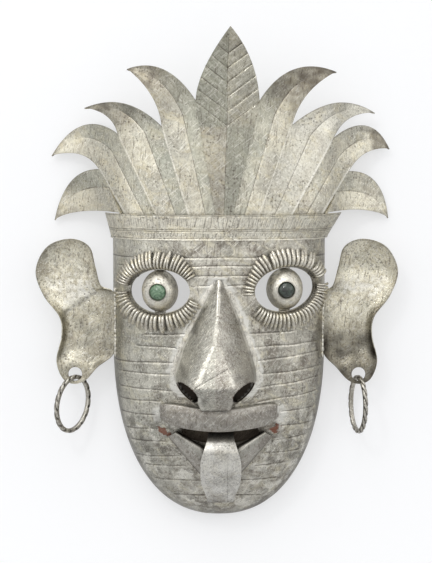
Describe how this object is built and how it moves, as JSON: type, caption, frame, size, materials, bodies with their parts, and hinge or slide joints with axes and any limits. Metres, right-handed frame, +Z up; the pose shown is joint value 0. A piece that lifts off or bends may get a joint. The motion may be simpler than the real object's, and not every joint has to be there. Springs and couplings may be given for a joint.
{
  "type": "wall mask",
  "caption": "Wall-hung folk mask of soldered sheet metal: feather crown, headband, lash-fringed ball eyes, hooked nose, lips with tongue, dished ears with loose wire earrings.",
  "frame": {"origin": "on the wall plane, at the middle of the back face of the hanging strap, at forehead height", "axes": "+X to the viewer's right, +Y into the wall, +Z up"},
  "size_m": [0.2933, 0.0972, 0.3974],
  "materials": {
    "silvered_sheet": "tarnished silvered sheet, hand-chased, satin",
    "dull_sheet": "dull unpolished sheet",
    "green_glass": "glossy green glass",
    "notched_wire": "silvered wire with blackened notches"
  },
  "bodies": {
    "mask": {"face_plate": "silvered_sheet", "headband": "silvered_sheet", "crown_leaf": "silvered_sheet", "feather_left_1": "silvered_sheet", "feather_left_2": "silvered_sheet", "feather_left_3": "silvered_sheet", "feather_left_4": "silvered_sheet", "feather_right_1": "silvered_sheet", "feather_right_2": "silvered_sheet", "feather_right_3": "silvered_sheet", "feather_right_4": "silvered_sheet", "nose": "silvered_sheet", "upper_lip": "silvered_sheet", "lower_lip_left": "silvered_sheet", "lower_lip_right": "silvered_sheet", "tongue": "silvered_sheet", "eyeball_left": "silvered_sheet", "eyeball_right": "silvered_sheet", "upper_lash_left": "silvered_sheet", "upper_lash_right": "silvered_sheet", "lower_lash_left": "silvered_sheet", "lower_lash_right": "silvered_sheet", "ear_left": "silvered_sheet", "ear_right": "silvered_sheet", "eye_strip_left": "dull_sheet", "eye_strip_right": "dull_sheet", "mouth_cup": "dull_sheet", "hanging_strap": "dull_sheet", "eye_bead_left": "green_glass", "eye_bead_right": "green_glass"},
    "ring_left": {"ear_ring_left": "notched_wire"},
    "ring_right": {"ear_ring_right": "notched_wire"}
  },
  "joints": [
    {"name": "ear_ring_left_swing", "type": "hinge", "parent": "mask", "child": "ring_left", "pos_m": [-0.11744, -0.0215, -0.10508], "axis": [0.766, 0.6428, 0], "range_deg": [-20, 25]},
    {"name": "ear_ring_right_swing", "type": "hinge", "parent": "mask", "child": "ring_right", "pos_m": [0.11394, -0.0215, -0.10547], "axis": [0.309, -0.9511, 0], "range_deg": [-45, 75]}
  ]
}
